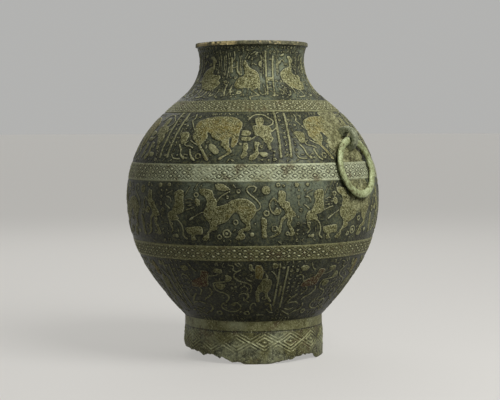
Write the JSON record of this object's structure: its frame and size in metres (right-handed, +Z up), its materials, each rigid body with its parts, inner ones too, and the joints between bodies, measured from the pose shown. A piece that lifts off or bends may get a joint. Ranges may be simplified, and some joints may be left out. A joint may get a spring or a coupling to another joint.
{
  "type": "bronze hu vase",
  "caption": "Cast bronze hu: a full-bellied wine jar with a flared neck and ring foot, banded relief friezes, and a loose ring hanging in a lug on either shoulder.",
  "frame": {"origin": "centre of the plane that the foot stands on, on the vessel's axis", "axes": "+Z up the vessel's axis, +X towards the lug with ring_right, -Y towards the broken front of the foot"},
  "size_m": [0.2948, 0.2842, 0.35],
  "materials": {
    "vessel_bronze": "dark olive patina",
    "ring_bronze": "pale green patina"
  },
  "bodies": {
    "vessel": {"vessel": "vessel_bronze"},
    "ring_right": {"ring_right": "ring_bronze"},
    "ring_left": {"ring_left": "ring_bronze"}
  },
  "joints": [
    {"name": "ring_right_swing", "type": "hinge", "parent": "vessel", "child": "ring_right", "pos_m": [0.12993, 0, 0.2415], "axis": [0, -1, 0], "range_deg": [0, 205]},
    {"name": "ring_left_swing", "type": "hinge", "parent": "vessel", "child": "ring_left", "pos_m": [-0.12993, 0, 0.2415], "axis": [0, 1, 0], "range_deg": [0, 205]}
  ]
}
